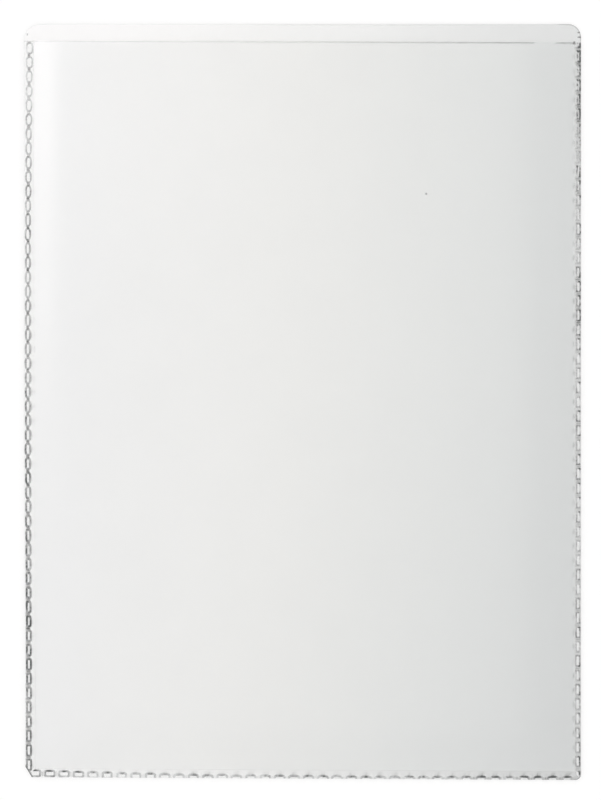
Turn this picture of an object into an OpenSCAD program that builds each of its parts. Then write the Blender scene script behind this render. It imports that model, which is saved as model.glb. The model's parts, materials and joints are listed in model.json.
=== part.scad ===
// Clear card sleeve: a front film welded to a longer back film along three sides.
// A card slides in at the open end, guided by the lip of the back film behind it.
// The sleeve lies on its back, with X across it, Y towards the open end and Z through
// the films. The origin is the middle of the back face.

/* [Card] */
// Width of the card that the pocket takes
card_w = 74; // [50:0.5:150]
// Length of the card, along the pocket
card_h = 105; // [60:0.5:220]
// Room between the card and the weld on each side
side_play = 2.25; // [0.6:0.05:5]
// Room between the card and the bottom weld, with the card level with the front film's edge
end_play = 0.35; // [0:0.05:5]
// Room between the two films, for the thickness of the card
pocket_gap = 0.4; // [0.2:0.05:1.5]

/* [Films] */
// Thickness of each film
film_t = 0.18; // [0.12:0.01:0.5]
// Height of the lip that the back film shows above the front film's edge
lip_h = 2.65; // [1:0.05:20]
// Radius of the lip's two corners
lip_corner_r = 1.65; // [0.2:0.05:1.9]

/* [Weld] */
// Flat rim of the weld on each side of a row of stitches
weld_rim = 0.1; // [0.05:0.01:1]
// Width of the slope on which the front film rises from the weld to the pocket
slope_w = 0.6; // [0.3:0.05:3]
// Radius of the sleeve's two bottom corners
bottom_corner_r = 0.75; // [0.2:0.05:1]
// Least length of plain weld between the last stitch and the open end
weld_end = 0.2; // [0.1:0.05:3]

/* [Stitches] */
// Length of a pressed stitch at the weld's surface
stitch_len = 1.5; // [1:0.05:4]
// Width of a pressed stitch at the weld's surface
stitch_w = 0.8; // [0.7:0.01:2]
// Plain weld between one stitch and the next
stitch_gap = 0.56; // [0.2:0.01:3]
// Depth that a stitch is pressed into the weld
stitch_depth = 0.14; // [0.05:0.01:0.2]
// Width of the sloped wall around a stitch
stitch_wall = 0.12; // [0.05:0.01:0.18]
// Radius of the corners of a stitch's flat floor
stitch_floor_r = 0.1; // [0.05:0.01:0.15]

/* [Hidden] */
$fn = 48;
film_colour = "WhiteSmoke";
weld_colour = "Gainsboro";
film_alpha = 0.45;
weld_alpha = 0.75;

// How far a cutting shape reaches past the surface that it cuts
cut_past = 0.05;

// The weld's flat land holds one row of stitches between its two rims
weld_w = stitch_w + 2 * weld_rim;
weld_t = 2 * film_t;
seam_w = weld_w + slope_w;
pocket_w = card_w + 2 * side_play;
sleeve_w = pocket_w + 2 * weld_w;
front_h = weld_w + end_play + card_h;
sleeve_h = front_h + lip_h;
left_x = -sleeve_w / 2;
bottom_y = -sleeve_h / 2;
mouth_y = bottom_y + front_h;
front_z = film_t + pocket_gap;
sleeve_t = front_z + film_t;
stitch_pitch = stitch_len + stitch_gap;
stitch_top_r = stitch_floor_r + stitch_wall;

// What a round corner takes off a square one whose tip is at the origin
module corner_waste(r) {
    difference() {
        translate([-cut_past, -cut_past])
            square(r + cut_past);
        translate([r, r])
            circle(r);
    }
}

// The lip's outline, from the front film's edge up
module lip_outline() {
    difference() {
        translate([left_x, 0])
            square([sleeve_w, lip_h]);
        for (side = [0, 1])
            mirror([side, 0])
                translate([left_x, lip_h])
                    mirror([0, 1])
                        corner_waste(lip_corner_r);
    }
}

// The back film lies flat between the welds, and its lip reaches over their full width
module back_film() {
    color(film_colour, film_alpha)
        linear_extrude(film_t)
            union() {
                translate([-pocket_w / 2, bottom_y + weld_w])
                    square([pocket_w, front_h - weld_w]);
                translate([0, mouth_y])
                    lip_outline();
            }
}

// The front film lies over the pocket and ends square at the mouth
module front_film() {
    color(film_colour, film_alpha)
        translate([left_x + seam_w, bottom_y + seam_w, front_z])
            cube([sleeve_w - 2 * seam_w, front_h - seam_w, film_t]);
}

// Section of a welded edge, from the trimmed edge inwards: the two films are one over the
// land, and on the slope the front film lifts off the back film
module weld_section() {
    polygon([
        [0, 0],
        [weld_w, 0],
        [weld_w, film_t],
        [seam_w, front_z],
        [seam_w, sleeve_t],
        [weld_w, weld_t],
        [0, weld_t]
    ]);
}

// A wedge bar along Y whose sides slope by the stitch's wall, cut past the surface
module sloped_bar(length, top_w) {
    slope = stitch_wall / stitch_depth;
    top_half = top_w / 2 + slope * cut_past;
    floor_half = top_w / 2 - stitch_wall;
    translate([0, length / 2, 0])
        rotate([90, 0, 0])
            linear_extrude(length)
                polygon([
                    [-floor_half, -stitch_depth],
                    [floor_half, -stitch_depth],
                    [top_half, cut_past],
                    [-top_half, cut_past]
                ]);
}

// One pressed stitch, sunk below Z = 0: a round-cornered pan with a flat floor, long in Y
module stitch() {
    slope = stitch_wall / stitch_depth;
    corner_x = stitch_w / 2 - stitch_top_r;
    corner_y = stitch_len / 2 - stitch_top_r;
    sloped_bar(2 * corner_y, stitch_w);
    rotate(90)
        sloped_bar(2 * corner_x, stitch_len);
    for (x = [-corner_x, corner_x], y = [-corner_y, corner_y])
        translate([x, y, -stitch_depth])
            cylinder(
                h = stitch_depth + cut_past,
                r1 = stitch_floor_r,
                r2 = stitch_top_r + slope * cut_past
            );
}

// A row of stitches along Y that fills the run from y0 to y1 and is centred in it
module stitch_row(y0, y1) {
    count = floor((y1 - y0 - stitch_len) / stitch_pitch) + 1;
    row_len = (count - 1) * stitch_pitch + stitch_len;
    first_y = (y0 + y1 - row_len + stitch_len) / 2;
    for (i = [0 : count - 1])
        translate([weld_rim + stitch_w / 2, first_y + i * stitch_pitch, weld_t])
            stitch();
}

// Plan of a welded edge that runs along Y from a mitred corner at the origin. Its far end
// is mitred into the next corner too, or square where the pocket opens
module seam_plan(length, mitre_far) {
    far = mitre_far ? seam_w : 0;
    difference() {
        polygon([[0, 0], [seam_w, seam_w], [seam_w, length - far], [0, length]]);
        corner_waste(bottom_corner_r);
        if (mitre_far)
            translate([0, length])
                mirror([0, 1])
                    corner_waste(bottom_corner_r);
    }
}

// One welded edge with its row of stitches
module seam(length, mitre_far) {
    far = mitre_far ? weld_w : weld_end;
    difference() {
        intersection() {
            translate([0, length, 0])
                rotate([90, 0, 0])
                    linear_extrude(length)
                        weld_section();
            linear_extrude(sleeve_t)
                seam_plan(length, mitre_far);
        }
        stitch_row(weld_w, length - far);
    }
}

module left_weld() {
    color(weld_colour, weld_alpha)
        translate([left_x, bottom_y, 0])
            seam(front_h, false);
}

module right_weld() {
    color(weld_colour, weld_alpha)
        mirror([1, 0, 0])
            translate([left_x, bottom_y, 0])
                seam(front_h, false);
}

// The bottom weld is a side weld with X and Y exchanged
module bottom_weld() {
    color(weld_colour, weld_alpha)
        translate([left_x, bottom_y, 0])
            mirror([1, -1, 0])
                seam(sleeve_w, true);
}

back_film();
front_film();
left_weld();
right_weld();
bottom_weld();
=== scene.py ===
import json
import math
import random
from collections import namedtuple

import bmesh
import bpy
from bpy.props import FloatProperty, FloatVectorProperty, IntProperty, PointerProperty
from mathutils import Matrix, Vector, noise

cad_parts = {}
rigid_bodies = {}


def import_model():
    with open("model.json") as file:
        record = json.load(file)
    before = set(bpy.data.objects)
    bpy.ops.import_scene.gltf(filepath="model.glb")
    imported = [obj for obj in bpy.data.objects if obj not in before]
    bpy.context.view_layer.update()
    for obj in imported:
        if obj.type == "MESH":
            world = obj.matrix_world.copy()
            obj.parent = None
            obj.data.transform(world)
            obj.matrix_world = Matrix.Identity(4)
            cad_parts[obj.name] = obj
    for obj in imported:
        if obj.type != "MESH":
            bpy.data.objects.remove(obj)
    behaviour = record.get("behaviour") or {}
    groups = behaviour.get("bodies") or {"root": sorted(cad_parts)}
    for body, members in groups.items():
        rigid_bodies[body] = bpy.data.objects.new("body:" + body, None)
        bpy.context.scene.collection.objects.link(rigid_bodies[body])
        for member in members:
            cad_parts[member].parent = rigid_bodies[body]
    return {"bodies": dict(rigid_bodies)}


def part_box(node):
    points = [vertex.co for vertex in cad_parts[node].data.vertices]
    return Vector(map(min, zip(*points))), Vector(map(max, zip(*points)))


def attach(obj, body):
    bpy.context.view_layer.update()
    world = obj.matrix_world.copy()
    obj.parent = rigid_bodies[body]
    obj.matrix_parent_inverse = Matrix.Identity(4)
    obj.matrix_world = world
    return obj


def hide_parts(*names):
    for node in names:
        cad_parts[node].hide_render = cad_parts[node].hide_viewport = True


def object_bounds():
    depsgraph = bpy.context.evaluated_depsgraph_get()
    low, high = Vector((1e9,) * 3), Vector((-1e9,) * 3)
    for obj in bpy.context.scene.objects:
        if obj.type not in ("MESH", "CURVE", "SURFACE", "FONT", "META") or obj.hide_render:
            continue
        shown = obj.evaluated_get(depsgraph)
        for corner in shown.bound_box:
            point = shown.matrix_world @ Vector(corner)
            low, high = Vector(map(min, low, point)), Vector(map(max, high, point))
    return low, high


bl_info = {
    "name": "Clear Card Sleeve",
    "version": (1, 0, 0),
    "blender": (4, 5, 0),
    "location": "View3D > Sidebar > Card Sleeve",
    "description": "Models the films and the stitched welds of a clear card sleeve on its frame",
    "category": "Object",
}

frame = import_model()
CAD_LOW, CAD_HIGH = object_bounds()
BODY = next(iter(frame["bodies"]))

MM = 0.001

# Places that come from the frame, in metres
BACK_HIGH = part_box("back_film")[1]
FRONT_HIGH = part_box("front_film")[1]
EDGE_X = CAD_HIGH.x
BOTTOM_Y = CAD_LOW.y
TOP_Y = CAD_HIGH.y
MOUTH_Y = FRONT_HIGH[1]
SLEEVE_W = 2 * EDGE_X
FRONT_H = MOUTH_Y - BOTTOM_Y
FILM_T = BACK_HIGH[2]
WELD_T = 2 * FILM_T
POCKET_RISE = FRONT_HIGH[2] - WELD_T

# Air left between two pieces that touch, so that no two faces lie in one place
SKIN = 0.004 * MM

# Refractive index of soft PVC
PVC_IOR = 1.53

# Painted shade of the spot where the front film's cut edge meets the right weld
MOUTH_END = 0.9

# Flat cuts that round a corner of the welds, and the painted shade that they leave along it
CORNER_CUTS = 5
CORNER_SHADE = 0.7

# Points in each ring round a stitch, a multiple of 8 so that the outer ring has square corners
RING_POINTS = 32

# Millimetres over which the painted shade of the bridge between two stitches fades into the land
BRIDGE_FADE = 0.1

# How a stitch looks. Painted shades run from -1, a painted highlight brighter than clear film, over 0,
# clear film, to 1, dark painted shade: its outer, inner and end walls, a spot in the middle of the inner
# wall, its two outer corners, the bridge to the next stitch, the land beside it, its floor and the soft
# side of the inner wall. Then how far the bridge lies to the inner side, how square a stitch is and how
# uneven, and in millimetres the half width of the bridge and the length, width and wall of a stitch
Look = namedtuple(
    "Look",
    "outer inner ends spot tips bridge land floor halo lean square uneven neck length width wall",
)

# How one stitch differs from the next, each by a share from -1 to 1: how askew it is and how dark its
# painted shade is, its length and width, and its place along and across the row
Differences = namedtuple("Differences", "askew dark length width along across")

# A row of stitches: the seed of the differences between them, then in millimetres its first stitch from
# the corner, one stitch to the next and the land's width, and the painted shades of its trimmed edge and
# of its end at the mouth. Then how far its middle is from the trimmed edge and each value of its looks,
# at equal steps along the row, or only at its two ends where nothing changes
Row = namedtuple("Row", "seed first pitch land trim end middles looks")

LEFT_ROW = Row(
    seed=35,
    first=1.80,
    pitch=2.0695,
    land=1.44,
    trim=0.06,
    end=0.25,
    middles=(0.50, 0.50, 0.525, 0.565, 0.575, 0.59, 0.585, 0.70, 0.82),
    looks=Look(
        outer=(0.85, 0.95, 1.10, 0.94, 0.92, 0.68, 0.60, 0.66, 0.22),
        inner=(0.85, 0.92, 0.74, 0.68, 0.64, 0.66, 0.68, 0.56, 0.30),
        ends=(0.85, 0.86, 0.86, 0.72, 0.60, 0.55, 0.58, 0.60, 0.42),
        spot=(0.10, 0.10, 0.20, 0.20, 0.10, 0.00, 0.00, 0.00, 0.00),
        tips=(0.00, 0.00),
        bridge=(0.72, 0.78, 0.92, 0.95, 0.92, 0.90, 0.85, 0.72, 0.64),
        land=(0.05, 0.03, 0.00, -0.05, -0.10, -0.25, -0.50, -0.90, -1.00),
        floor=(0.06, 0.10, 0.12, 0.05, 0.00, -0.10, -0.20, -0.30, -0.30),
        halo=(0.20, 0.18, 0.15, 0.15, 0.35, 0.28, 0.05, 0.03, 0.00),
        lean=(-0.20, -0.20, -0.20, -0.10, 0.00, 0.00, 0.00, 0.00, -0.10),
        square=(9.00, 6.00, 5.00, 3.60, 3.00, 2.80, 2.80, 3.00, 3.20),
        uneven=(0.30, 0.32, 0.35, 0.38, 0.38, 0.38, 0.40, 0.45, 0.55),
        neck=(0.32, 0.30, 0.26, 0.20, 0.16, 0.15, 0.16, 0.24, 0.16),
        length=(1.64, 1.66, 1.67, 1.72, 1.76, 1.76, 1.75, 1.68, 1.64),
        width=(0.76, 0.76, 0.79, 0.82, 0.84, 0.82, 0.80, 0.86, 0.95),
        wall=(0.20, 0.22, 0.23, 0.22, 0.22, 0.21, 0.20, 0.19, 0.18),
    ),
)
RIGHT_ROW = Row(
    seed=31,
    first=0.58,
    pitch=2.0753,
    land=0.97,
    trim=0.42,
    end=0.05,
    middles=(0.50, 0.48, 0.42, 0.39, 0.39, 0.38, 0.37, 0.345, 0.30),
    looks=Look(
        outer=(0.80, 0.68, 0.48, 0.30, 0.34, 0.62, 0.65, 0.72, 0.90),
        inner=(0.62, 0.62, 0.68, 0.66, 0.66, 0.68, 0.62, 0.50, 0.30),
        ends=(0.70, 0.70, 0.64, 0.70, 0.70, 0.80, 0.66, 0.62, 1.00),
        spot=(0.00, 0.00, 0.00, 0.00, 0.00, 0.00, 0.00, 0.30, 0.50),
        tips=(0.20, 0.18, 0.15, 0.15, 0.15, 0.30, 0.24, 0.20, 0.30),
        bridge=(0.50, 0.50, 0.50, 0.50, 0.50, 0.62, 0.58, 0.62, 0.85),
        land=(0.26, 0.29, 0.29, 0.26, 0.26, 0.27, 0.27, 0.29, 0.30),
        floor=(0.00, 0.00, 0.05, 0.05, 0.05, 0.05, 0.15, 0.48, 0.25),
        halo=(0.30, 0.30, 0.28, 0.28, 0.42, 0.42, 0.34, 0.32, 0.38),
        lean=(0.00, 0.00),
        square=(8.00, 8.00),
        uneven=(0.45, 0.45, 0.50, 0.50, 0.50, 0.55, 0.55, 0.60, 0.50),
        neck=(0.30, 0.33, 0.36, 0.36, 0.36, 0.36, 0.36, 0.34, 0.32),
        length=(1.62, 1.62, 1.63, 1.64, 1.64, 1.64, 1.64, 1.64, 1.64),
        width=(0.72, 0.72, 0.67, 0.66, 0.66, 0.66, 0.66, 0.57, 0.50),
        wall=(0.19, 0.18, 0.17, 0.17, 0.17, 0.17, 0.17, 0.18, 0.20),
    ),
)
BOTTOM_ROW = Row(
    seed=3,
    first=1.42,
    pitch=2.083,
    land=1.25,
    trim=0.15,
    end=0.0,
    middles=(0.58, 0.34, 0.12, 0.02, 0.00, -0.05, -0.04, 0.02, 0.06),
    looks=Look(
        outer=(0.65, 0.32, 0.10, 0.15, 0.20, 0.28, 0.35, 0.38, 0.40),
        inner=(0.80, 0.50, 0.58, 0.66, 0.72, 0.82, 0.80, 0.80, 0.82),
        ends=(0.65, 0.48, 0.48, 0.52, 0.56, 0.62, 0.64, 0.64, 0.66),
        spot=(0.25, 0.48, 0.18, 0.14, 0.12, 0.16, 0.20, 0.24, 0.26),
        tips=(0.15, 0.10, 0.00, 0.00, 0.00, 0.00, 0.00, 0.00, 0.00),
        bridge=(0.40, 0.12, 0.20, 0.24, 0.28, 0.36, 0.46, 0.54, 0.60),
        land=(0.00, 0.02, 0.05, 0.08, 0.11, 0.15, 0.20, 0.27, 0.34),
        floor=(-0.15, -0.12, -0.10, -0.05, 0.00, 0.05, 0.10, 0.15, 0.20),
        halo=(0.10, 0.20, 0.35, 0.38, 0.40, 0.43, 0.46, 0.50, 0.55),
        lean=(0.00, 0.00),
        square=(8.00, 6.00, 4.00, 4.00, 4.00, 4.00, 4.00, 4.00, 4.00),
        uneven=(0.40, 0.40, 0.40, 0.42, 0.45, 0.50, 0.45, 0.45, 0.45),
        neck=(0.30, 0.30),
        length=(1.56, 1.52, 1.55, 1.58, 1.60, 1.58, 1.54, 1.50, 1.50),
        width=(1.00, 0.93, 0.95, 0.95, 0.95, 0.95, 0.95, 0.95, 0.95),
        wall=(0.20, 0.23, 0.24, 0.23, 0.23, 0.22, 0.22, 0.22, 0.22),
    ),
)

LEFT_X = -EDGE_X + LEFT_ROW.land * MM
RIGHT_X = EDGE_X - RIGHT_ROW.land * MM
FOOT_Y = BOTTOM_Y + BOTTOM_ROW.land * MM


def linear(hex_colour):
    """Linear RGBA of an sRGB colour written as #RRGGBB."""
    parts = [int(hex_colour[i:i + 2], 16) / 255 for i in (1, 3, 5)]
    return [c / 12.92 if c <= 0.04045 else ((c + 0.055) / 1.055) ** 2.4 for c in parts] + [1.0]


def smooth_step(t):
    """0 below 0, 1 above 1, and an S-curve between them."""
    t = min(max(t, 0.0), 1.0)
    return t * t * (3 - 2 * t)


def mix(a, b, t):
    """The value that lies the share t of the way from a to b."""
    return a + (b - a) * t


def bell(offset, width):
    """1 where the offset is 0, and almost 0 where it is twice the width."""
    return math.exp(-((offset / width) ** 2))


def along_row(values, share):
    """The value at a share of the way along a row, from values at equal steps."""
    place = min(max(share, 0.0), 1.0) * (len(values) - 1)
    start = min(int(place), len(values) - 2)
    return mix(values[start], values[start + 1], place - start)


def look_at(row, share):
    """The look at a share of the way along a row."""
    return Look(*(along_row(values, share) for values in row.looks))


def from_stitch(row, y):
    """How far a place beside a side row is along it from the middle of the nearest stitch, as a share of
    the way from one stitch to the next."""
    turn = ((y - BOTTOM_Y) / MM - row.first) / row.pitch
    return abs(turn - round(turn))


class SleeveFilm(bpy.types.PropertyGroup):
    """Sizes and colours of the two films."""

    left_corner: FloatProperty(
        name="Left Corner",
        description="Radius of the left corner of the back film's lip",
        default=2.4 * MM,
        unit="LENGTH",
    )
    right_corner: FloatProperty(
        name="Right Corner",
        description="Radius of the right corner of the back film's lip",
        default=1.9 * MM,
        unit="LENGTH",
    )
    # Width of the painted shade along a cut edge
    edge_line: FloatProperty(
        name="Edge Line",
        description="Width over which a cut edge of film looks darker",
        default=0.28 * MM,
        unit="LENGTH",
    )
    rise_width: FloatProperty(
        name="Rise Width",
        description="Distance from a weld over which the front film does most of its rise",
        default=3.5 * MM,
        unit="LENGTH",
    )
    slant: FloatProperty(
        name="Slant",
        description="How far the bottom edge drops from the middle to the right",
        default=0.21 * MM,
        unit="LENGTH",
    )
    lean: FloatProperty(
        name="Lean",
        description="How far the left edge leans in at the bottom",
        default=0.23 * MM,
        unit="LENGTH",
    )
    columns: IntProperty(
        name="Columns",
        description="Columns of faces across the front film",
        default=72,
    )
    rows: IntProperty(
        name="Rows",
        description="Rows of faces along the front film",
        default=320,
    )
    clear: FloatVectorProperty(
        name="Film",
        description="Tint of light that has passed through one film",
        subtype="COLOR",
        size=4,
        default=linear("#F9FAFA"),
    )
    # Painted highlight: a tint brighter than clear film, which negative values of the shade attribute give
    # to the lip's left side, the land by the left weld, the floors of stitches and a ripple in the mouth's
    # edge
    painted_highlight: FloatVectorProperty(
        name="Highlight Film",
        description="Tint of film that is stretched thin beside a weld",
        subtype="COLOR",
        size=4,
        default=linear("#FFFFFF"),
    )
    # Painted shade: the tint that the dark end of the shade attribute gives to cut edges, pressed walls,
    # bridges and the marks beside the welds, and also the colour of the film's rare speck
    dark: FloatVectorProperty(
        name="Edge",
        description="Tint of a cut edge or a pressed wall, which sends little light to the eye",
        subtype="COLOR",
        size=4,
        default=linear("#1E2020"),
    )


class SleeveWeld(bpy.types.PropertyGroup):
    """Sizes of the welds that all three share."""

    shoulder: FloatProperty(
        name="Shoulder",
        description="Width of the soft bead pressed up round a stitch",
        default=0.07 * MM,
        unit="LENGTH",
    )
    bead: FloatProperty(
        name="Bead",
        description="Height of the bead above the weld",
        default=0.02 * MM,
        unit="LENGTH",
    )
    depth: FloatProperty(
        name="Depth",
        description="Depth that a stitch is pressed into the weld",
        default=0.14 * MM,
        unit="LENGTH",
    )
    corner: FloatProperty(
        name="Corner",
        description="Radius of the round corner at the bottom right",
        default=0.85 * MM,
        unit="LENGTH",
    )
    cut_up: FloatProperty(
        name="Corner Cut Up",
        description="How far the straight cut at the bottom left reaches up the side",
        default=1.50 * MM,
        unit="LENGTH",
    )
    cut_across: FloatProperty(
        name="Corner Cut Across",
        description="How far the straight cut at the bottom left reaches along the bottom",
        default=0.93 * MM,
        unit="LENGTH",
    )


class SleeveStage(bpy.types.PropertyGroup):
    """Camera, floor and light."""

    camera_distance: FloatProperty(
        name="Camera Distance",
        description="Height of the camera above the sleeve",
        default=0.8,
        unit="LENGTH",
    )
    view_height: FloatProperty(
        name="View Height",
        description="Length that the picture's longer side shows at the sleeve",
        default=115.52 * MM,
        unit="LENGTH",
    )
    aim_x: FloatProperty(
        name="Aim X",
        description="Where the middle of the picture lies across the sleeve",
        default=-0.28 * MM,
        unit="LENGTH",
    )
    aim_y: FloatProperty(
        name="Aim Y",
        description="Where the middle of the picture lies along the sleeve",
        default=0.16 * MM,
        unit="LENGTH",
    )
    panel_height: FloatProperty(
        name="Panel Height",
        description="Height of the graded panel that the film mirrors",
        default=1.2,
        unit="LENGTH",
    )
    panel_size: FloatProperty(
        name="Panel Size",
        description="Side of the graded panel",
        default=1.0,
        unit="LENGTH",
    )
    world_strength: FloatProperty(
        name="World",
        description="Strength of the even light from all round",
        default=1.0,
    )


def add_node(tree, kind, inputs=None, **settings):
    """Adds a node, makes its settings, and fills or links its inputs."""
    made = tree.nodes.new(kind)
    for name, value in settings.items():
        setattr(made, name, value)
    for key, value in (inputs or {}).items():
        if isinstance(value, bpy.types.NodeSocket):
            tree.links.new(value, made.inputs[key])
        else:
            made.inputs[key].default_value = value
    return made


def empty_material(name):
    """A new material with no nodes, and its node tree."""
    material = bpy.data.materials.new(name)
    material.use_nodes = True
    material.node_tree.nodes.clear()
    return material, material.node_tree


def shade_tint(tree, film):
    """Painted shade and highlight as a tint from the shade attribute: -1 is a painted highlight, 0 clear
    film, 1 the painted shade of a dark edge.
    """
    shade = add_node(tree, "ShaderNodeAttribute", attribute_name="shade")
    share = add_node(
        tree,
        "ShaderNodeMath",
        {0: shade.outputs["Fac"], 1: 0.5, 2: 0.5},
        operation="MULTIPLY_ADD",
        use_clamp=True,
    )
    ramp = add_node(tree, "ShaderNodeValToRGB", {"Fac": share.outputs[0]})
    stops = ramp.color_ramp.elements
    stops[0].color = film.painted_highlight
    stops[1].color = film.dark
    stops.new(0.5).color = film.clear
    return ramp.outputs["Color"]


def film_material(film):
    """Calendered soft PVC film: clear, glossy and slightly hazy, with faint lines from the
    rollers along its length, a slight mottle in its gloss and a rare speck in it. Its tint carries
    the painted shade and highlight of the shade attribute."""
    roughness = (0.05, 0.11)
    mottle_size = 9.0 * MM
    line_spacing = 2.5 * MM
    line_length = 60.0 * MM
    line_height = 0.002 * MM
    speck_spacing = 26.0 * MM
    speck_radius = 0.19 * MM
    speck_core = 0.4 * speck_radius
    speck_strength = 0.27
    speck_rarity = 0.8
    speck_shift = Vector((4.48, -13.7, 0)) * MM
    material, tree = empty_material("calendered_soft_pvc_film")
    place = add_node(tree, "ShaderNodeTexCoord").outputs["Object"]
    tint = shade_tint(tree, film)

    moved = add_node(tree, "ShaderNodeVectorMath", {0: place, 1: speck_shift}, operation="ADD")
    cells = add_node(
        tree,
        "ShaderNodeTexVoronoi",
        {"Vector": moved.outputs["Vector"], "Scale": 1 / speck_spacing},
        voronoi_dimensions="2D",
    )
    near = add_node(
        tree,
        "ShaderNodeMapRange",
        {
            "Value": cells.outputs["Distance"],
            "From Min": speck_core / speck_spacing,
            "From Max": speck_radius / speck_spacing,
            "To Min": speck_strength,
            "To Max": 0.0,
        },
    )
    draw = add_node(tree, "ShaderNodeSeparateColor", {"Color": cells.outputs["Color"]})
    few = add_node(
        tree,
        "ShaderNodeMath",
        {0: draw.outputs["Red"], 1: speck_rarity},
        operation="GREATER_THAN",
    )
    speck = add_node(
        tree,
        "ShaderNodeMath",
        {0: near.outputs["Result"], 1: few.outputs[0]},
        operation="MULTIPLY",
    )
    specked = add_node(
        tree,
        "ShaderNodeMix",
        {"Factor": speck.outputs[0], "A": tint, "B": film.dark},
        data_type="RGBA",
    )

    mottle = add_node(
        tree,
        "ShaderNodeTexNoise",
        {"Vector": place, "Scale": 1 / mottle_size, "Detail": 3.0},
    )
    gloss = add_node(
        tree,
        "ShaderNodeMapRange",
        {"Value": mottle.outputs["Fac"], "To Min": roughness[0], "To Max": roughness[1]},
    )

    along = add_node(
        tree,
        "ShaderNodeMapping",
        {"Vector": place, "Scale": (1 / line_spacing, 1 / line_length, 1 / line_length)},
    )
    lines = add_node(
        tree,
        "ShaderNodeTexNoise",
        {"Vector": along.outputs["Vector"], "Scale": 1.0, "Detail": 2.0},
    )
    bump = add_node(
        tree,
        "ShaderNodeBump",
        {"Height": lines.outputs["Fac"], "Distance": line_height, "Strength": 1.0},
    )

    surface = add_node(
        tree,
        "ShaderNodeBsdfPrincipled",
        {
            "Base Color": specked.outputs["Result"],
            "Roughness": gloss.outputs["Result"],
            "IOR": PVC_IOR,
            "Transmission Weight": 1.0,
            "Normal": bump.outputs["Normal"],
        },
    )
    add_node(tree, "ShaderNodeOutputMaterial", {"Surface": surface.outputs["BSDF"]})
    return material


def weld_material(film):
    """Soft PVC fused by a high-frequency weld: near clear on the floors of the stitches, with painted
    shade dark on their pressed walls, a lighter painted shade and highlight on the floors and the land,
    and the fine grain of the tool in its gloss."""
    roughness = (0.06, 0.16)
    grain_size = 0.25 * MM
    grain_height = 0.004 * MM
    material, tree = empty_material("high_frequency_welded_pvc")
    place = add_node(tree, "ShaderNodeTexCoord").outputs["Object"]
    tint = shade_tint(tree, film)
    grain = add_node(
        tree,
        "ShaderNodeTexNoise",
        {"Vector": place, "Scale": 1 / grain_size, "Detail": 2.0},
    )
    gloss = add_node(
        tree,
        "ShaderNodeMapRange",
        {"Value": grain.outputs["Fac"], "To Min": roughness[0], "To Max": roughness[1]},
    )
    bump = add_node(
        tree,
        "ShaderNodeBump",
        {"Height": grain.outputs["Fac"], "Distance": grain_height, "Strength": 1.0},
    )
    surface = add_node(
        tree,
        "ShaderNodeBsdfPrincipled",
        {
            "Base Color": tint,
            "Roughness": gloss.outputs["Result"],
            "IOR": PVC_IOR,
            "Transmission Weight": 1.0,
            "Normal": bump.outputs["Normal"],
        },
    )
    add_node(tree, "ShaderNodeOutputMaterial", {"Surface": surface.outputs["BSDF"]})
    return material


def shared_material(name, maker, film):
    """The material of that name, made the first time that it is asked for."""
    return bpy.data.materials.get(name) or maker(film)


def as_cut(co, film):
    """Where a point of a square sleeve lies on the real one: its bottom edge slants down to the right,
    its mouth less so, and its left edge leans in towards the bottom. A slant and a drop are shares of
    the film's slant."""
    mouth_slant = 0.68
    bottom_slant = 1.0
    mouth_drop = -0.42
    bottom_drop = 0.2
    lean_end = 0.8 * BOTTOM_Y
    below_lip = min((TOP_Y - co.y) / (TOP_Y - MOUTH_Y), 1.0)
    down = smooth_step((MOUTH_Y - co.y) / FRONT_H)
    drop = mix(mouth_slant, bottom_slant, down) * co.x / EDGE_X + mix(mouth_drop, bottom_drop, down)
    lean = smooth_step(co.y / lean_end) * (EDGE_X - co.x) / SLEEVE_W
    return Vector((co.x + film.lean * lean, co.y - film.slant * below_lip * drop, co.z))


def finish_piece(bm, name, material, nodes):
    """Turns a closed bmesh into a piece that rides on the body in place of the CAD nodes."""
    sharp_angle = math.radians(35)
    film = bpy.context.scene.sleeve_film
    for v in bm.verts:
        v.co = as_cut(v.co, film)
    bmesh.ops.recalc_face_normals(bm, faces=bm.faces)
    mesh = bpy.data.meshes.new(name)
    bm.to_mesh(mesh)
    bm.free()
    mesh.shade_smooth()
    mesh.set_sharp_from_angle(angle=sharp_angle)
    mesh.materials.append(material)
    piece = bpy.data.objects.new(name, mesh)
    bpy.context.scene.collection.objects.link(piece)
    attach(piece, BODY)
    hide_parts(*nodes)
    return piece


def lip_mark_shade(x, y):
    """Painted shade of the tool's marks that carry the side rows on past the mouth, on the flat lip: on
    the left a part of the stitches' outer walls, on the right their end walls, the trimmed edge and the
    spot at the mouth."""
    left_wall = 0.5
    left_shade = 0.4
    right_shade = 0.7
    right_mottle = 0.8
    mottle_size = 0.4 * MM
    trim_shade = 0.4
    line = 0.1
    row = LEFT_ROW if x < 0 else RIGHT_ROW
    look = look_at(row, 1.0)
    from_edge = (EDGE_X - abs(x)) / MM
    along = from_stitch(row, y) * row.pitch
    if x < 0:
        return left_shade * bell(from_edge - left_wall, 2 * line) * bell(along, 4 * line)
    across = smooth_step((row.middles[-1] + look.width / 2 - from_edge) / line)
    bar = across * bell(along - (look.length - look.wall) / 2, line)
    bar *= right_shade + right_mottle * noise.noise(Vector((x, y, 0)) / mottle_size)
    spot = bell(x - RIGHT_X, 1.5 * line * MM) * bell(y - MOUTH_Y, 2 * line * MM)
    return max(bar, trim_shade * bell(from_edge, line), MOUTH_END * spot)


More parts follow.
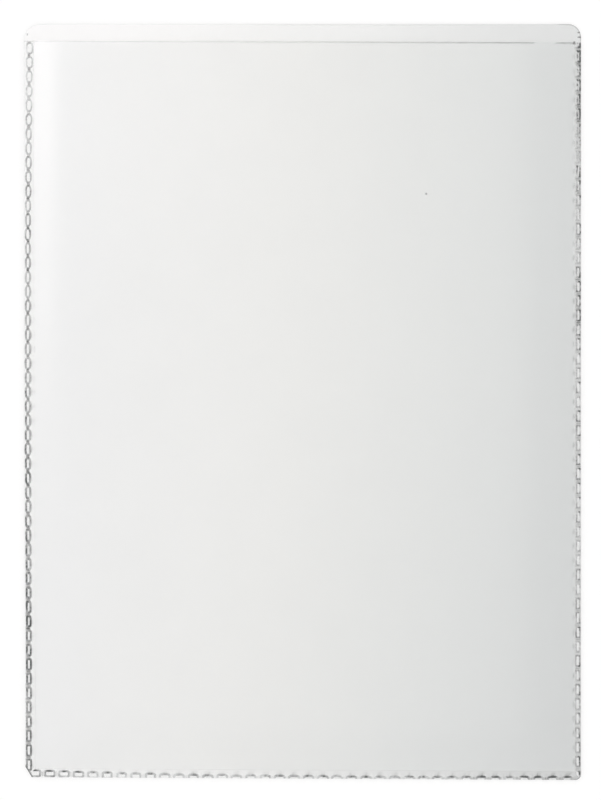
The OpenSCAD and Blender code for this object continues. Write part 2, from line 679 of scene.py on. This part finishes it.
def lip_shade(x, y):
    """Painted shade and highlight of the lip: lighter to the left and darker to the right, in step with
    the light that it mirrors, with a faint painted line along its cut edge, and at its sides the painted
    shade of the marks of the tool, which presses its stitches past the mouth."""
    right_shade = 0.08
    left_shade = -0.8
    left_growth = 1.3
    edge_shade = 0.12
    edge_width = 0.22 * MM
    mark_cover = 3.0
    across = x / EDGE_X
    dark = right_shade * smooth_step(across) + left_shade * smooth_step(-left_growth * across)
    edged = mix(dark, edge_shade, bell(TOP_Y - y, edge_width))
    mark = lip_mark_shade(x, y)
    return mix(edged, mark, min(mark_cover * mark, 1.0))


def steps(low, high, count):
    """Equal steps from one value up to, but not including, another."""
    return [mix(low, high, number / count) for number in range(count)]


def thicken(bm):
    """Makes a sheet as thick as the film, upwards."""
    grown = bmesh.ops.extrude_face_region(bm, geom=bm.faces[:])["geom"]
    top_verts = [g for g in grown if isinstance(g, bmesh.types.BMVert)]
    bmesh.ops.translate(bm, verts=top_verts, vec=(0, 0, FILM_T))


class SLEEVE_OT_back_film(bpy.types.Operator):
    """Makes the back film: a flat sheet between the welds with a lip over their full width"""

    bl_idname = "sleeve.back_film"
    bl_label = "Back Film"

    def execute(self, context):
        film = context.scene.sleeve_film
        left_columns = 12
        middle_columns = 24
        spot_columns = 3
        right_columns = 9
        lip_rows = 24
        corner_cuts = 10
        # Painted shade along the cut edges of the lip's rounded corners: faint at the left, darker at the
        # right
        left_shade = 0.03
        right_shade = 0.32
        neck = MOUTH_Y + SKIN
        xs = steps(-EDGE_X, LEFT_X + SKIN, left_columns)
        xs += steps(LEFT_X + SKIN, RIGHT_X - film.edge_line, middle_columns)
        xs += steps(RIGHT_X - film.edge_line, RIGHT_X - SKIN, spot_columns)
        xs += steps(RIGHT_X - SKIN, EDGE_X, right_columns) + [EDGE_X]
        ys = [FOOT_Y + SKIN, neck - film.edge_line] + steps(neck, TOP_Y, lip_rows) + [TOP_Y]

        bm = bmesh.new()
        shade = bm.verts.layers.float.new("shade")
        bmesh.ops.create_grid(bm, x_segments=len(xs) - 1, y_segments=len(ys) - 1, size=0.5)
        for v in bm.verts:
            x = xs[round((v.co.x + 0.5) * (len(xs) - 1))]
            y = ys[round((v.co.y + 0.5) * (len(ys) - 1))]
            v.co = (x, y, 0.0)
        beside = []
        for f in bm.faces:
            middle = f.calc_center_median()
            if middle.y < neck and not LEFT_X < middle.x < RIGHT_X:
                beside.append(f)
        bmesh.ops.delete(bm, geom=beside, context="FACES")
        for v in bm.verts:
            v[shade] = lip_shade(v.co.x, v.co.y) if v.co.y > neck - SKIN else 0.0
        corners = ((-1, film.left_corner, left_shade), (1, film.right_corner, right_shade))
        for way, radius, dark in corners:
            round_corner(bm, Vector((way * EDGE_X, TOP_Y, 0)), (-way, -1), radius, corner_cuts, dark)
        thicken(bm)
        finish_piece(
            bm,
            "back_film_sheet",
            shared_material("calendered_soft_pvc_film", film_material, film),
            ["back_film"],
        )
        return {"FINISHED"}


def film_height(x, y, film):
    """Height of the front film's underside: on the back film at the welds, clear of it between."""
    from_side = min(x - LEFT_X, RIGHT_X - x)
    lift = math.tanh(from_side / film.rise_width) * math.tanh((y - FOOT_Y) / film.rise_width)
    return FILM_T + SKIN + POCKET_RISE * lift


def stitch_side_shade(row, share, along):
    """Painted shade that a stitch leaves on the film on its inner side, at the edge of the land: most
    beside the middle of a stitch, where along is 0, and none at the joint to the next, where it is 1."""
    widest_gap = 0.6
    patchiness = 0.8
    patches = 40
    narrowness = 1.6
    look = look_at(row, share)
    gap = row.land - along_row(row.middles, share) - look.width / 2
    near = max(1 - gap / widest_gap, 0.0)
    patch = 1 + patchiness * noise.noise(Vector((row.first, share * patches, 0.0)))
    return look.halo * near * patch * smooth_step(1 - narrowness * along)


def weld_side_shade(x, y):
    """Painted shade that the stitches of a side weld leave on the front film beside it."""
    row = LEFT_ROW if x < 0 else RIGHT_ROW
    from_weld = (x - LEFT_X if x < 0 else RIGHT_X - x) / MM
    reach = 0.23
    if from_weld > 3 * reach:
        return 0.0
    return bell(from_weld, reach) * stitch_side_shade(row, (y - BOTTOM_Y) / FRONT_H, 2 * from_stitch(row, y))


def mouth_shade(x):
    """Painted shade along the front film's cut edge: faint at the left, broken, lost in a painted
    highlight where the edge ripples near the right end, and dark where it meets the right weld."""
    left_shade = 0.15
    right_shade = 0.45
    patchiness = 0.35
    patch_size = 1.6 * MM
    patch_seed = 4.0
    ripple_x = 35.2 * MM
    ripple_half = 1.5 * MM
    ripple_strength = 1.8
    end_width = 0.15 * MM
    line = mix(left_shade, right_shade, smooth_step(x / EDGE_X * 0.5 + 0.5))
    broken = 1 + patchiness * noise.noise(Vector((x / patch_size, 0.0, patch_seed)))
    ripple = math.exp(-(((x - ripple_x) / ripple_half) ** 4))
    return line * broken * (1 - ripple_strength * ripple) + MOUTH_END * bell(x - RIGHT_X, end_width)


class SLEEVE_OT_front_film(bpy.types.Operator):
    """Makes the front film: one sheet that lifts off the back film between its three welds"""

    bl_idname = "sleeve.front_film"
    bl_label = "Front Film"

    def execute(self, context):
        film = context.scene.sleeve_film
        # Columns crowd towards the side welds, and the last row is as wide as the line of the cut edge
        crowding = 0.9
        last_row = 1.5 * (MOUTH_Y - FOOT_Y) / film.rows
        bm = bmesh.new()
        shade = bm.verts.layers.float.new("shade")
        bmesh.ops.create_grid(bm, x_segments=film.columns, y_segments=film.rows, size=1.0)
        for v in bm.verts:
            across = mix(v.co.x, math.sin(v.co.x * math.pi / 2), crowding)
            x = mix(LEFT_X + SKIN, RIGHT_X - SKIN, across * 0.5 + 0.5)
            y = mix(FOOT_Y + SKIN, MOUTH_Y, v.co.y * 0.5 + 0.5)
            if MOUTH_Y - y < last_row:
                y = max(y, MOUTH_Y - film.edge_line)
            v.co = (x, y, film_height(x, y, film))
            v[shade] = weld_side_shade(x, y)
        thicken(bm)
        for v in bm.verts:
            if v.co.y > MOUTH_Y - SKIN:
                v[shade] = mouth_shade(v.co.x)
        finish_piece(
            bm,
            "front_film_sheet",
            shared_material("calendered_soft_pvc_film", film_material, film),
            ["front_film"],
        )
        return {"FINISHED"}


def bridge_share(look, from_middle):
    """Share of the bridge's painted shade: 1 on the bridge between two stitches, and 0 a little away from
    its middle line.
    """
    return smooth_step((look.neck + BRIDGE_FADE - abs(from_middle)) / BRIDGE_FADE)


def cell_point(row, count, run, index, direction, differences):
    """Place along and across in millimetres, and painted shade, of a point on the border of a stitch's
    cell of the strip. The strip reaches past its trimmed edge, where it is cut later."""
    on_joint = 0.99
    wander = 0.2
    mottle = 1.2
    outside = -0.7
    inside = row.land - SKIN / MM
    along, inwards = direction / max(abs(direction.x), abs(direction.y))
    if abs(along) < on_joint:
        share = index / (count - 1)
        look = look_at(row, share)
        u = row.first + (index + along / 2) * row.pitch
        if index == count - 1 and along > 0:
            u = mix(row.first + index * row.pitch, run, along)
        if inwards < 0:
            return u, outside, look.land
        return u, inside, look.land + stitch_side_shade(row, share, abs(along))
    joint = index + (along > 0)
    share = (joint - 0.5) / (count - 1)
    look = look_at(row, share)
    u = row.first + (joint - 0.5) * row.pitch
    if joint == 0:
        return min(u, 0.0), mix(outside, inside, inwards * 0.5 + 0.5), look.land
    if joint == count:
        return max(u, run), mix(outside, inside, inwards * 0.5 + 0.5), look.land
    middle = along_row(row.middles, share) + look.lean * look.width / 2
    middle += wander * look.uneven * differences[joint].askew
    from_bridge = (0.0, look.neck, look.neck + BRIDGE_FADE, look.neck + 2 * BRIDGE_FADE)
    step = round(math.atan(abs(inwards)) / (2 * math.pi / RING_POINTS))
    if step == len(from_bridge):
        w = inside if inwards > 0 else outside
    else:
        w = middle + math.copysign(from_bridge[step], inwards)
    dark = look.bridge * (1 + mottle * look.uneven * differences[joint].dark)
    return u, min(w, inside), mix(look.land, dark, bridge_share(look, w - middle))


def stitch_outline(look, place, middle, grow, direction, difference):
    """Place along and across of a point on a ring round a stitch's place and middle, that much outside
    the rim of its wall, and how far along the stitch it is, from -1 to 1."""
    length_play = 0.04
    width_play = 0.15
    along_play = 0.02
    across_play = 0.015
    along, inwards = direction
    reach = (abs(along) ** look.square + abs(inwards) ** look.square) ** (-1 / look.square)
    half_length = look.length * (1 + length_play * difference.length) / 2 + grow
    half_width = look.width * (1 + width_play * look.uneven * difference.width) / 2 + grow
    u = place + along_play * difference.along + along * reach * half_length
    w = middle + across_play * difference.across + inwards * reach * half_width
    return u, w, along * reach


def wall_shade(row, look, u, w, direction, end_share, end, difference):
    """Painted shade of the wall of a stitch, which stands in for the light that the wall bends away: by
    the side that it is on, with a spot in the middle of the inner wall, dark tips and the differences
    between the stitches. The inner wall's painted shade fades in the corner."""
    fade_start = 0.3
    fade_length = 0.5
    skew = 0.6
    darkness = 0.4
    mottle_strength = 1.2
    mottle_size = 0.22
    along, inwards = direction
    inner = look.inner * smooth_step((u - fade_start) / fade_length)
    dark = mix(inner if inwards > 0 else look.outer, end, end_share)
    dark += look.spot * max(inwards, 0.0) ** 8
    dark += look.tips * 2 * max(-inwards, 0.0) * abs(along)
    dark += skew * look.uneven * difference.askew * along * inwards
    mottle = mottle_strength * noise.noise(Vector((u, w, row.seed)) / mottle_size)
    return dark * (1 + look.uneven * (darkness * difference.dark + mottle))


def stitch_point(weld, row, count, index, level, direction, difference):
    """Place along and across in millimetres, height in metres, and painted shade of a point on a ring of a
    stitch:
    from the second ring on they are its bead, the rim and the foot of its wall, and its floor."""
    bead, foot, floor = 1, 3, 4
    bead_spread = 6
    floor_inset = 1.25
    floor_mottle_size = 0.35
    end_start = 0.72
    end_fade = 0.22
    share = index / (count - 1)
    look = look_at(row, share)
    middle = along_row(row.middles, share)
    inner = max(direction.y, 0.0)
    softness = max(look.halo - max(look.land, 0.0), 0.0)
    shoulder = weld.shoulder / MM * (1 + bead_spread * softness * inner ** 4)
    grow = (shoulder, 0.0, -look.wall, -floor_inset * look.wall)[level - 1]
    place = row.first + index * row.pitch
    u, w, to_end = stitch_outline(look, place, middle, grow, direction, difference)
    z = WELD_T + (weld.bead, 0.5 * weld.bead, -weld.depth, -weld.depth)[level - 1]
    if level == floor:
        mottle = noise.noise(Vector((u, w, row.seed + 0.5)) / floor_mottle_size)
        return u, w, z, look.floor + look.uneven * mottle
    end_share = smooth_step((abs(to_end) - end_start) / end_fade)
    on_bridge = bridge_share(look, w - middle - look.lean * look.width / 2)
    end = max(look.ends, look.bridge * on_bridge) if level < foot else look.ends
    dark = wall_shade(row, look, u, w, direction, end_share, end, difference)
    if level > bead:
        return u, w, z, dark
    beside = max(look.land, look.halo * inner ** 4 * dark)
    return u, w, z, mix(beside, look.bridge, end_share * on_bridge)


def stitch_row(bm, weld, row, run, last):
    """A strip of weld with a row of pressed stitches, along X from a corner at the origin and with its
    trimmed edge at Y = 0. Every stitch is a set of rings inside its cell of the strip. No stitch has
    its middle beyond the last place given."""
    spacing = 10.0
    rings = 5
    ring_inset = 0.1
    ring = bm.verts.layers.int.new("ring")
    shade = bm.verts.layers.float.new("shade")
    count = int((last / MM - row.first) / row.pitch) + 1
    made = bmesh.ops.create_circle(bm, cap_ends=True, segments=RING_POINTS, radius=1.0)
    pan = made["verts"][0].link_faces[0]
    for level in range(1, rings):
        bmesh.ops.inset_individual(bm, faces=[pan], thickness=ring_inset)
        for v in pan.verts:
            v[ring] = level
    bmesh.ops.spin(
        bm,
        geom=bm.verts[:] + bm.edges[:] + bm.faces[:],
        dvec=(spacing, 0, 0),
        axis=(0, 0, 1),
        angle=0,
        steps=count - 1,
        use_duplicate=True,
    )
    rng = random.Random(row.seed)
    differences = []
    for _ in range(count + 1):
        differences.append(Differences(*(rng.uniform(-1, 1) for _ in Differences._fields)))
    for v in bm.verts:
        index = round(v.co.x / spacing)
        direction = Vector((v.co.x - index * spacing, v.co.y)).normalized()
        if v[ring] == 0:
            u, w, v[shade] = cell_point(row, count, run / MM, index, direction, differences)
            z = WELD_T
        else:
            point = stitch_point(weld, row, count, index, v[ring], direction, differences[index])
            u, w, z, v[shade] = point
        v.co = (u * MM, w * MM, z)
    bmesh.ops.remove_doubles(bm, verts=bm.verts[:], dist=SKIN / 4)
    cut_away(bm, (0, 0, 0), (0, -1, 0), row.trim)


def cut_away(bm, point, outwards, dark=None):
    """Takes off what lies beyond a plane, and if a shade is given draws the new edge in that painted
    shade.
    """
    line_width = 0.14 * MM
    fade_width = 1.5 * line_width
    past_line = 1.1 * line_width
    point = Vector(point)
    outwards = Vector(outwards).normalized()
    offsets = (0.0,) if dark is None else (fade_width, line_width, 0.0)
    for offset in offsets:
        bmesh.ops.bisect_plane(
            bm,
            geom=bm.verts[:] + bm.edges[:] + bm.faces[:],
            dist=SKIN / 40,
            plane_co=point - outwards * offset,
            plane_no=outwards,
            clear_outer=offset == 0.0,
        )
    if dark is not None:
        shade = bm.verts.layers.float["shade"]
        for v in bm.verts:
            if (point - v.co).dot(outwards) < past_line:
                v[shade] = max(v[shade], dark)


def cut_corner(bm, along, across):
    """Cuts the strip's corner at the origin off straight, with painted shade along the cut."""
    cut_shade = 0.95
    cut_away(bm, (along, 0, 0), (-across, -along, 0), cut_shade)


def round_corner(bm, corner, inwards, radius, cuts, dark=None):
    """Rounds a square corner with a few flat cuts, drawn in painted shade if a shade is given."""
    way_x, way_y = inwards
    centre = corner + Vector((way_x, way_y, 0)) * radius
    for number in range(cuts):
        angle = math.pi / 2 * (number + 0.5) / cuts
        outwards = Vector((-way_x * math.cos(angle), -way_y * math.sin(angle), 0))
        cut_away(bm, centre + outwards * radius, outwards, dark)


def join_mouth(bm, row):
    """Carries the painted shade of the spot at the end of the front film's cut edge on to the inner edge
    of a side weld.
    """
    spot_start = FRONT_H - 0.25 * MM
    shade = bm.verts.layers.float["shade"]
    for v in bm.verts:
        if v.co.x > spot_start and v.co.y > row.land * MM - 2 * SKIN:
            v[shade] = MOUTH_END


def close_strip(bm):
    """Gives a trimmed strip its edges down to the back face, and its back."""
    shade = bm.verts.layers.float["shade"]
    open_edges = [e for e in bm.edges if e.is_boundary]
    grown = bmesh.ops.extrude_edge_only(bm, edges=open_edges)["geom"]
    for v in grown:
        if isinstance(v, bmesh.types.BMVert):
            v.co.z = 0.0
            v[shade] = 0.0
    bmesh.ops.holes_fill(bm, edges=[e for e in bm.edges if e.is_boundary], sides=0)


def finish_weld(bm, side, placed, film):
    """Closes a strip and puts it in its place as that side's weld."""
    close_strip(bm)
    bmesh.ops.transform(bm, matrix=placed, verts=bm.verts)
    finish_piece(
        bm,
        side + "_weld_seam",
        shared_material("high_frequency_welded_pvc", weld_material, film),
        [side + "_weld"],
    )


class SLEEVE_OT_side_welds(bpy.types.Operator):
    """Makes the left and right welds, each with its row of stitches"""

    bl_idname = "sleeve.side_welds"
    bl_label = "Side Welds"

    def execute(self, context):
        film = context.scene.sleeve_film
        weld = context.scene.sleeve_weld
        past_mouth = 0.5 * MM
        for side, row, way in (("left", LEFT_ROW, 1), ("right", RIGHT_ROW, -1)):
            bm = bmesh.new()
            stitch_row(bm, weld, row, FRONT_H, FRONT_H + past_mouth)
            cut_away(bm, (FRONT_H - SKIN, 0, 0), (1, 0, 0), row.end)
            cut_away(bm, (SKIN, 0, 0), (-row.land, BOTTOM_ROW.land, 0))
            if side == "left":
                cut_corner(bm, weld.cut_up, weld.cut_across)
            else:
                round_corner(bm, Vector(), (1, 1), weld.corner, CORNER_CUTS, CORNER_SHADE)
                join_mouth(bm, row)
            placed = Matrix(
                (
                    (0, way, 0, -way * EDGE_X),
                    (1, 0, 0, BOTTOM_Y),
                    (0, 0, 1, 0),
                    (0, 0, 0, 1),
                )
            )
            finish_weld(bm, side, placed, film)
        return {"FINISHED"}


class SLEEVE_OT_bottom_weld(bpy.types.Operator):
    """Makes the bottom weld, whose row of stitches runs out over the trimmed edge"""

    bl_idname = "sleeve.bottom_weld"
    bl_label = "Bottom Weld"

    def execute(self, context):
        film = context.scene.sleeve_film
        weld = context.scene.sleeve_weld
        bm = bmesh.new()
        stitch_row(bm, weld, BOTTOM_ROW, SLEEVE_W, RIGHT_X + EDGE_X)
        cut_away(bm, (SKIN, 0, 0), (-BOTTOM_ROW.land, LEFT_ROW.land, 0))
        cut_away(bm, (SLEEVE_W - SKIN, 0, 0), (BOTTOM_ROW.land, RIGHT_ROW.land, 0))
        cut_corner(bm, weld.cut_across, weld.cut_up)
        corner = Vector((SLEEVE_W, 0, 0))
        round_corner(bm, corner, (-1, 1), weld.corner, CORNER_CUTS, CORNER_SHADE)
        finish_weld(bm, "bottom", Matrix.Translation((-EDGE_X, BOTTOM_Y, 0)), film)
        return {"FINISHED"}


class SLEEVE_OT_stage(bpy.types.Operator):
    """Makes the floor, the light, the graded panel that the film mirrors, and the camera"""

    bl_idname = "sleeve.stage"
    bl_label = "Stage"

    def execute(self, context):
        stage = context.scene.sleeve_stage
        scene = context.scene
        scene.view_settings.view_transform = "Standard"
        self.add_floor()
        self.add_panel(stage)
        self.add_world(scene, stage)
        self.add_camera(scene, stage)
        return {"FINISHED"}

    def add_plane(self, name, size, height, material):
        """A level square of the stage."""
        bm = bmesh.new()
        bmesh.ops.create_grid(bm, x_segments=1, y_segments=1, size=size / 2)
        bmesh.ops.translate(bm, verts=bm.verts, vec=(0, 0, height))
        mesh = bpy.data.meshes.new(name)
        bm.to_mesh(mesh)
        bm.free()
        mesh.materials.append(material)
        plane = bpy.data.objects.new(name, mesh)
        bpy.context.scene.collection.objects.link(plane)
        return plane

    def add_floor(self):
        """Matte white card, which shows white to the eye and in the film and still takes a shadow. Most
        of its white is a glow that only seen, mirrored and refracted rays meet."""
        floor_size = 6.0
        floor_drop = 0.1 * MM
        glow_share = 0.7
        material, tree = empty_material("matte_white_card")
        path = add_node(tree, "ShaderNodeLightPath")
        seen = add_node(
            tree,
            "ShaderNodeMath",
            {0: path.outputs["Is Camera Ray"], 1: path.outputs["Is Glossy Ray"]},
            operation="MAXIMUM",
        )
        seen = add_node(
            tree,
            "ShaderNodeMath",
            {0: seen.outputs[0], 1: path.outputs["Is Transmission Ray"]},
            operation="MAXIMUM",
        )
        glow = add_node(
            tree,
            "ShaderNodeMath",
            {0: seen.outputs[0], 1: glow_share},
            operation="MULTIPLY",
        )
        card = add_node(tree, "ShaderNodeBsdfDiffuse", {"Color": [1 - glow_share] * 3 + [1.0]})
        light = add_node(tree, "ShaderNodeEmission", {"Strength": glow.outputs[0]})
        both = add_node(tree, "ShaderNodeAddShader", {0: card.outputs[0], 1: light.outputs[0]})
        add_node(tree, "ShaderNodeOutputMaterial", {"Surface": both.outputs[0]})
        self.add_plane("floor", floor_size, -floor_drop, material)

    def add_panel(self, stage):
        """A graded diffuser, whose light the film mirrors: strong at the left, weak at the right, with two
        soft glows. Its levels change within the half width and half height, which take in all that the
        film mirrors to the camera."""
        half_width = 0.4
        half_height = 0.2
        # How far the levels move to the left at the lower end, and the light added at both ends
        turn = 0.024
        low_change = -0.3
        high_change = 0.12
        # Light at shares of the way across, which the ramp holds as shares of a peak
        peak = 3.0
        levels = ((0.0, 2.05), (0.375, 2.01), (0.5, 1.74), (0.625, 0.81), (0.66, 0.56), (1.0, 0.40))
        # Place of each glow, how far from it the light begins and ends to fall off, and its light
        glows = (((-0.33, 0.17), 0.03, 0.23, 1.4), ((-0.085, 0.11), 0.0, 0.085, 0.2))
        # Tints at shares of the way across
        left_tint = (0.375, "#FFF9F9")
        middle_tint = (0.5, "#FFF7EE")
        right_tint = (0.625, "#FFFFF8")
        material, tree = empty_material("graded_diffuser")
        place = add_node(tree, "ShaderNodeTexCoord").outputs["Object"]
        axes = add_node(tree, "ShaderNodeSeparateXYZ", {"Vector": place})
        turned = add_node(
            tree,
            "ShaderNodeMapRange",
            {
                "Value": axes.outputs["Y"],
                "From Min": -half_height,
                "From Max": 0.0,
                "To Min": turn,
                "To Max": 0.0,
            },
        )
        level_x = add_node(
            tree,
            "ShaderNodeMath",
            {0: axes.outputs["X"], 1: turned.outputs["Result"]},
            operation="ADD",
        )
        share = add_node(
            tree,
            "ShaderNodeMapRange",
            {"Value": level_x.outputs[0], "From Min": -half_width, "From Max": half_width},
        )
        across = add_node(tree, "ShaderNodeValToRGB", {"Fac": share.outputs["Result"]})
        across.color_ramp.interpolation = "CARDINAL"
        stops = across.color_ramp.elements
        stops[1].position = levels[-1][0]
        for position, _ in levels[1:-1]:
            stops.new(position)
        for stop, (_, level) in zip(stops, levels):
            stop.color = [level / peak] * 3 + [1.0]
        up = add_node(
            tree,
            "ShaderNodeMapRange",
            {
                "Value": axes.outputs["Y"],
                "From Min": -half_height,
                "From Max": half_height,
                "To Min": low_change,
                "To Max": high_change,
            },
        )
        total = add_node(
            tree,
            "ShaderNodeMath",
            {0: across.outputs["Color"], 1: peak, 2: up.outputs["Result"]},
            operation="MULTIPLY_ADD",
        )
        for (x, y), near, far, strength in glows:
            gap = add_node(
                tree,
                "ShaderNodeVectorMath",
                {0: place, 1: (x, y, stage.panel_height)},
                operation="DISTANCE",
            )
            glow = add_node(
                tree,
                "ShaderNodeMapRange",
                {
                    "Value": gap.outputs["Value"],
                    "From Min": near,
                    "From Max": far,
                    "To Min": strength,
                    "To Max": 0.0,
                },
                interpolation_type="SMOOTHSTEP",
            )
            total = add_node(
                tree,
                "ShaderNodeMath",
                {0: total.outputs[0], 1: glow.outputs["Result"]},
                operation="ADD",
            )
        warmth = add_node(tree, "ShaderNodeValToRGB", {"Fac": share.outputs["Result"]})
        stops = warmth.color_ramp.elements
        for stop, (position, tint) in zip(stops, (left_tint, right_tint)):
            stop.position = position
            stop.color = linear(tint)
        stops.new(middle_tint[0]).color = linear(middle_tint[1])
        light = add_node(
            tree,
            "ShaderNodeEmission",
            {"Color": warmth.outputs["Color"], "Strength": total.outputs[0]},
        )
        add_node(tree, "ShaderNodeOutputMaterial", {"Surface": light.outputs[0]})
        panel = self.add_plane("graded_panel", stage.panel_size, stage.panel_height, material)
        panel.visible_camera = False

    def add_world(self, scene, stage):
        """Even white light from all round."""
        world = bpy.data.worlds.new("studio")
        world.use_nodes = True
        tree = world.node_tree
        tree.nodes.clear()
        light = add_node(
            tree,
            "ShaderNodeBackground",
            {"Color": linear("#FFFFFF"), "Strength": stage.world_strength},
        )
        add_node(tree, "ShaderNodeOutputWorld", {"Surface": light.outputs[0]})
        scene.world = world

    def add_camera(self, scene, stage):
        """A camera that looks straight down on the sleeve."""
        data = bpy.data.cameras.new("camera")
        data.sensor_width = 36.0
        data.lens = data.sensor_width * stage.camera_distance / stage.view_height
        data.clip_start = 0.01
        data.clip_end = 20.0
        camera = bpy.data.objects.new("camera", data)
        camera.location = (stage.aim_x, stage.aim_y, CAD_HIGH.z + stage.camera_distance)
        scene.collection.objects.link(camera)
        scene.camera = camera


class SLEEVE_PT_panel(bpy.types.Panel):
    """Lists the steps that make the sleeve"""

    bl_idname = "SLEEVE_PT_panel"
    bl_label = "Card Sleeve"
    bl_space_type = "VIEW_3D"
    bl_region_type = "UI"
    bl_category = "Card Sleeve"

    def draw(self, context):
        for operator in OPERATORS:
            self.layout.operator(operator.bl_idname)
        for settings in SETTINGS:
            group = getattr(context.scene, settings)
            for name in group.bl_rna.properties.keys():
                if name not in ("rna_type", "name"):
                    self.layout.prop(group, name)


SETTINGS = {
    "sleeve_film": SleeveFilm,
    "sleeve_weld": SleeveWeld,
    "sleeve_stage": SleeveStage,
}
OPERATORS = (
    SLEEVE_OT_back_film,
    SLEEVE_OT_front_film,
    SLEEVE_OT_side_welds,
    SLEEVE_OT_bottom_weld,
    SLEEVE_OT_stage,
)
CLASSES = (*SETTINGS.values(), *OPERATORS, SLEEVE_PT_panel)


def register():
    for cls in CLASSES:
        bpy.utils.register_class(cls)
    for name, group in SETTINGS.items():
        setattr(bpy.types.Scene, name, PointerProperty(type=group))


def unregister():
    for name in SETTINGS:
        delattr(bpy.types.Scene, name)
    for cls in reversed(CLASSES):
        bpy.utils.unregister_class(cls)


def main():
    register()
    bpy.ops.sleeve.back_film()
    bpy.ops.sleeve.front_film()
    bpy.ops.sleeve.side_welds()
    bpy.ops.sleeve.bottom_weld()
    bpy.ops.sleeve.stage()


if __name__ == "__main__":
    main()
